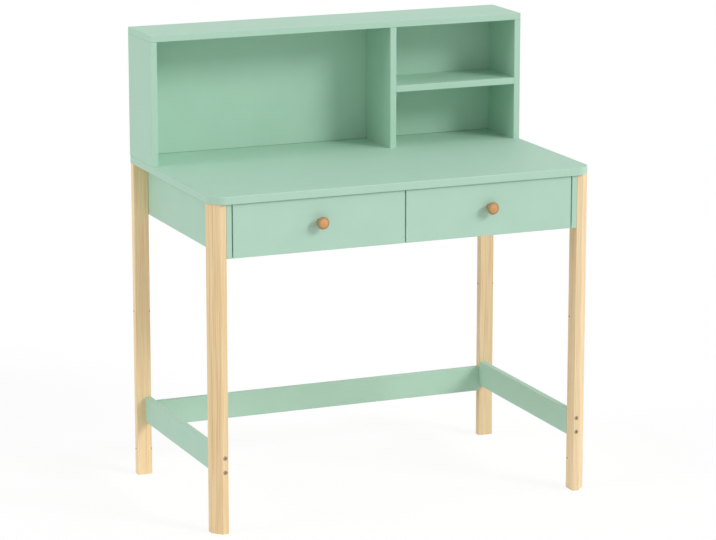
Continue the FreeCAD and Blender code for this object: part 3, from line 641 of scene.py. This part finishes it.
# Drawer boxes: pine sides let into the front, a pine back screwed between them, and a hardboard
# bottom in grooves. The sides' grain runs to the back, and the backs' grain runs across. The hardboard
# is a dull brown, mottled by its pressed fibres.
box_pale = "F0DDBB"
box_dark = "D2B07F"
box_ring_width = 5 * mm
side_pith = (30 * mm, 680 * mm, 0)
back_pith = (670 * mm, 30 * mm, 0)
hardboard_pale = "DCCDB2"
hardboard_shade = "CDBB9C"
hardboard_fibre_width = 1.2 * mm
hardboard_relief = 0.12 * mm
back_screw_shares = (0.25, 0.75)
grain_along_y = (math.radians(90), 0, 0)
grain_along_x = (0, math.radians(90), 0)

side_pine = planed_wood("planed pine drawer sides", side_pith, grain_along_y, box_ring_width,
                        box_pale, box_dark)
back_pine = planed_wood("planed pine drawer backs", back_pith, grain_along_x, box_ring_width,
                        box_pale, box_dark)
hardboard = speckled("hardboard", hardboard_pale, hardboard_shade, hardboard_fibre_width,
                     hardboard_relief, roughness=0.55, IOR=1.45)
for drawer in ("drawer_left", "drawer_right"):
    dress(drawer + "_inner_side", side_pine)
    dress(drawer + "_outer_side", side_pine)
    dress(drawer + "_back", back_pine)
    dress(drawer + "_bottom", hardboard)
    back_low, back_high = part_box(drawer + "_back")
    seats = []
    for place in ("_inner_side", "_outer_side"):
        low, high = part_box(drawer + place)
        faces_left = low.x < back_low.x
        for share in back_screw_shares:
            z = back_low.z + share * (back_high.z - back_low.z)
            seats.append(((low.x if faces_left else high.x, (back_low.y + back_high.y) / 2, z),
                          to_right if faces_left else to_left))
    set_hardware(drawer + "_box_screws", drawer, drawer + "_back_screws", seats, wood_screw_sizes)

# Drawer fronts: inset painted boards with a thin shadow gap all round. Each has a knob turned in
# hardwood and oiled, held by one screw from inside; its grain runs across. Its rim and neck are painted
# darker than its face: painted shade, for the shade round its edge and under its head.
knob_base_radius = 7.4 * mm
knob_base_length = 3 * mm
knob_chamfer = 0.5 * mm
knob_neck_radius = 6.4 * mm
knob_neck_end = 16 * mm
knob_waist_power = 0.8
knob_radius = 14 * mm
knob_round = 4.8 * mm
knob_round_start = math.radians(-75)
knob_round_end = math.radians(90)
knob_face_step = 0.25 * mm
knob_dome = 1.4 * mm
knob_steps = 12
knob_dome_steps = 8
knob_pale = "DCA166"
knob_dark = "C68B51"
# Painted shade: the knob's rim darkens to this colour from the start radius to the full one, and so does
# its neck behind the head.
knob_rim_shade = "A4885F"
knob_rim_shade_start = 8 * mm
knob_rim_shade_full = 10.6 * mm
knob_ring_width = 2.4 * mm
knob_pith_drop = 35 * mm
knob_pith_lead = 20 * mm
knob_screw_sizes = {"Head Radius": 4 * mm, "Head Rise": 2.4 * mm, "Rim Round": 0.9 * mm,
                    "Shank Radius": 2 * mm, "Length": 26 * mm, "Tip Length": 2 * mm, "Recess Points": 4,
                    "Recess Radius": 2.3 * mm, "Recess Waist": 0.6 * mm, "Recess Depth": 1.6 * mm}


def oiled_hardwood_painted_shade(name, centre):
    """The wood of a knob: rings and fibres across its face, with painted shade on its rim and neck."""
    pith = (-centre.z + knob_pith_drop, -centre.y + knob_pith_lead, 0)
    material = planed_wood(name, pith, grain_along_x, knob_ring_width, knob_pale, knob_dark)
    tree = material.node_tree
    shader = next(made for made in tree.nodes if made.type == "BSDF_PRINCIPLED")
    colour = shader.inputs["Base Color"].links[0].from_socket
    place = add(tree, "ShaderNodeTexCoord").outputs["Object"]
    offset = add(tree, "ShaderNodeVectorMath", {0: place, 1: centre}, operation="SUBTRACT")
    offset = offset.outputs["Vector"]
    radial = add(tree, "ShaderNodeVectorMath", {0: offset, 1: (1, 0, 1)}, operation="MULTIPLY")
    radius = add(tree, "ShaderNodeVectorMath", {0: radial.outputs["Vector"]}, operation="LENGTH")
    # Painted shade: darker towards the rim, and on the neck behind the head.
    rim = add(tree, "ShaderNodeMapRange", {"Value": radius.outputs["Value"], "From Min": knob_rim_shade_start,
                                           "From Max": knob_rim_shade_full}).outputs["Result"]
    behind = add(tree, "ShaderNodeSeparateXYZ", {"Vector": offset}).outputs["Y"]
    neck = add(tree, "ShaderNodeMapRange", {"Value": behind, "From Min": knob_round,
                                            "From Max": knob_round * 2}).outputs["Result"]
    dark = add(tree, "ShaderNodeMath", {0: rim, 1: neck}, operation="MAXIMUM").outputs["Value"]
    with_painted_shade = add(tree, "ShaderNodeMix", {0: dark, 6: colour, 7: linear(knob_rim_shade)}, data_type="RGBA")
    tree.links.new(with_painted_shade.outputs[2], shader.inputs["Base Color"])
    return material


def knob_profile(length):
    """A knob's turned outline: a short base, a waisted neck, a round rim and a slightly domed face."""
    base = knob_base_radius - knob_chamfer
    flare = knob_radius - knob_round
    profile = [(0, 0), (base, 0), (knob_base_radius, knob_chamfer),
               (knob_base_radius, knob_base_length - knob_chamfer), (base, knob_base_length)]
    for step in range(1, knob_steps + 1):
        share = step / knob_steps
        waist = math.sin(math.pi * share) ** knob_waist_power
        radius = base + (flare - base) * share ** 2 - (base - knob_neck_radius) * waist
        profile.append((radius, knob_base_length + (knob_neck_end - knob_base_length) * share))
    rim_middle = length - knob_dome - knob_round
    for step in range(knob_steps + 1):
        angle = knob_round_start + (knob_round_end - knob_round_start) * step / knob_steps
        profile.append((flare + knob_round * math.cos(angle), rim_middle + knob_round * math.sin(angle)))
    profile.append((flare - knob_face_step, length - knob_dome - knob_face_step))
    for step in range(1, knob_dome_steps + 1):
        share = 1 - step / knob_dome_steps
        profile.append(((flare - 2 * knob_face_step) * share, length - knob_dome * share ** 2))
    return profile


for drawer in ("drawer_left", "drawer_right"):
    dress(drawer + "_front", mint_lacquer)
    low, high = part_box(drawer + "_knob")
    seat = Vector(((low.x + high.x) / 2, high.y, (low.z + high.z) / 2))
    knob = bmesh.new()
    lathed(knob, knob_profile(high.y - low.y), seat, to_front)
    wood = oiled_hardwood_painted_shade("oiled hardwood " + drawer, Vector((seat.x, low.y, seat.z)))
    drawn_piece(drawer + "_turned_knob", knob, wood, drawer, drawer + "_knob")
    front_low, front_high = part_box(drawer + "_front")
    set_hardware(drawer + "_knob_bolt", drawer, drawer + "_knob_screw",
                 [((seat.x, front_high.y, seat.z), to_front)], knob_screw_sizes)

# Studio: a plain pale floor, an even white surround, a soft key from the front right, and a broad
# fill on each side. The lamps are so far off that they light the floor evenly: it shows just white
# where nothing shades it, and keeps a faint shadow of the desk.
floor_half = 60
floor_pale = "F4F4F2"
shadow_share = 0.16
surround_level = 0.48
# Each lamp has the way to it, its width in degrees and its level.
lamps = {"key": ((0.8, -1, 0.74), 20, 0.407), "left_fill": ((-1, 0, 0.5), 24, 0.264),
         "right_fill": ((1, -0.3, 0.5), 24, 0.17)}


def seen_directly(tree):
    """One where the camera or a reflection looks, and nought where a surface gathers its light."""
    ray = add(tree, "ShaderNodeLightPath").outputs
    seen = ray["Is Camera Ray"]
    for kind in ("Is Glossy Ray", "Is Transmission Ray"):
        seen = add(tree, "ShaderNodeMath", {0: seen, 1: ray[kind]}, operation="MAXIMUM").outputs["Value"]
    return seen


floor_level = surround_level
for name, (way, width, level) in lamps.items():
    lamp = bpy.data.lights.new(name, "SUN")
    lamp.angle = math.radians(width)
    lamp.energy = level * math.pi
    lamp_object = bpy.data.objects.new(name, lamp)
    lamp_object.rotation_euler = Vector(way).to_track_quat("Z", "Y").to_euler()
    bpy.context.scene.collection.objects.link(lamp_object)
    floor_level += level * Vector(way).normalized().z

world = bpy.data.worlds.new("white studio")
bpy.context.scene.world = world
world.use_nodes = True
tree = world.node_tree
tree.nodes.clear()
strength = add(tree, "ShaderNodeMapRange", {"Value": seen_directly(tree), "To Min": surround_level,
                                            "To Max": 1}).outputs["Result"]
surround = add(tree, "ShaderNodeBackground", {"Color": (1, 1, 1, 1), "Strength": strength})
add(tree, "ShaderNodeOutputWorld", {"Surface": surround.outputs["Background"]})

floor_mesh = bpy.data.meshes.new("floor")
corners = [(-floor_half, -floor_half, 0), (floor_half, -floor_half, 0),
           (floor_half, floor_half, 0), (-floor_half, floor_half, 0)]
floor_mesh.from_pydata(corners, [], [(0, 1, 2, 3)])
floor = bpy.data.objects.new("floor", floor_mesh)
bpy.context.scene.collection.objects.link(floor)
# Studio paper: matt and pale to the light, and shown so that only the desk's shadow darkens it.
paper = bpy.data.materials.new("pale studio paper")
paper.use_nodes = True
tree = paper.node_tree
tree.nodes.clear()
matt = add(tree, "ShaderNodeBsdfDiffuse", {"Color": linear(floor_pale)})
faint = add(tree, "ShaderNodeBsdfDiffuse", {"Color": (shadow_share, shadow_share, shadow_share, 1)})
glow = add(tree, "ShaderNodeEmission", {"Color": (1, 1, 1, 1), "Strength": 1 - shadow_share * floor_level})
shown = add(tree, "ShaderNodeAddShader", {0: faint.outputs["BSDF"], 1: glow.outputs["Emission"]})
either = add(tree, "ShaderNodeMixShader", {0: seen_directly(tree), 1: matt.outputs["BSDF"],
                                           2: shown.outputs["Shader"]})
add(tree, "ShaderNodeOutputMaterial", {"Surface": either.outputs["Shader"]})
floor_mesh.materials.append(paper)
bpy.context.scene.view_settings.view_transform = "Standard"

# Camera: as far off as the photograph's, a little to the left of the desk and above it, with a long
# lens that keeps the upright edges nearly parallel.
camera_place = (-2.75003, -6.50944, 2.10547)
camera_yaw = math.radians(22.8467)
camera_dip = math.radians(12.8229)
camera_lens = 162.14
camera_sensor = 36

lens = bpy.data.cameras.new("camera")
lens.sensor_width = camera_sensor
lens.lens = camera_lens
camera = bpy.data.objects.new("camera", lens)
camera.location = camera_place
camera.rotation_euler = (math.radians(90) - camera_dip, 0, -camera_yaw)
bpy.context.scene.collection.objects.link(camera)
bpy.context.scene.camera = camera
